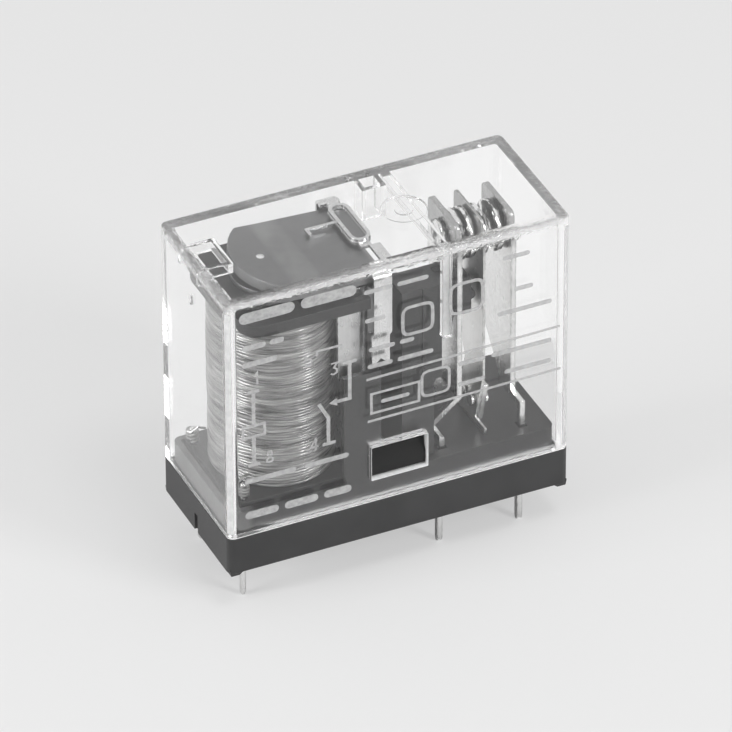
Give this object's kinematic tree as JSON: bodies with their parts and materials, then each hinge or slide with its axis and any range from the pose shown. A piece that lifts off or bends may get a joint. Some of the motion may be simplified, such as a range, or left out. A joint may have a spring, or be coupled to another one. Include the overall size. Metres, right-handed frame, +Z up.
{
  "type": "printed-circuit power relay",
  "caption": "Upright printed-circuit power relay under a clear cover, with coil, hinged armature and a changeover contact on a black base with solder pins.",
  "frame": {"origin": "centre of the base's flat underside, between the feet", "axes": "+X along the relay towards the contacts, +Y across it towards the rear wall, +Z up from the board"},
  "size_m": [0.0288, 0.0126, 0.029],
  "materials": {
    "black_moulding": "fine matt black moulding",
    "clear_moulding": "clear glossy moulding",
    "bobbin_moulding": "matt black moulding",
    "winding_wire": "fine enamelled wire, layered",
    "plated_steel": "satin plated",
    "yoke_steel": "satin plated",
    "spring_steel": "bright strip",
    "card_moulding": "matt black moulding",
    "tinned_brass": "tin-plated strip",
    "contact_silver": "smooth silver alloy",
    "spring_bronze": "bright plated strip",
    "lead_wire": "soldered wire"
  },
  "bodies": {
    "base": {"base": "black_moulding", "cover": "clear_moulding", "bobbin": "bobbin_moulding", "coil_winding": "winding_wire", "core": "plated_steel", "yoke": "yoke_steel", "hinge_spring": "spring_steel", "break_terminal": "tinned_brass", "break_contact": "contact_silver", "common_terminal": "tinned_brass", "blade_rivet_front": "tinned_brass", "blade_rivet_rear": "tinned_brass", "make_terminal": "tinned_brass", "make_contact": "contact_silver", "coil_terminal_front": "tinned_brass", "coil_terminal_rear": "tinned_brass", "coil_lead_front": "lead_wire", "coil_lead_rear": "lead_wire"},
    "armature": {"armature": "plated_steel"},
    "card": {"card": "card_moulding"},
    "moving_blade": {"moving_blade": "spring_bronze", "moving_contact": "contact_silver"}
  },
  "joints": [
    {"name": "armature_hinge", "type": "hinge", "parent": "base", "child": "armature", "pos_m": [-0.0015, 0, 0.02225], "axis": [0, -1, 0], "range_deg": [0, 3], "stiffness_Nm_per_rad": 0.001, "springref_deg": -17.19},
    {"name": "card_slide", "type": "slide", "parent": "base", "child": "card", "axis": [1, 0, 0], "range_m": [0, 0.000292]},
    {"name": "moving_blade_hinge", "type": "hinge", "parent": "base", "child": "moving_blade", "pos_m": [0.008, 0, 0.0054], "axis": [0, 1, 0], "range_deg": [0, 1.48]}
  ],
  "couplings": [
    {"joint": "card_slide", "follows": "armature_hinge", "m_per_rad": 0.00555},
    {"joint": "moving_blade_hinge", "follows": "armature_hinge", "ratio": 0.49115}
  ]
}
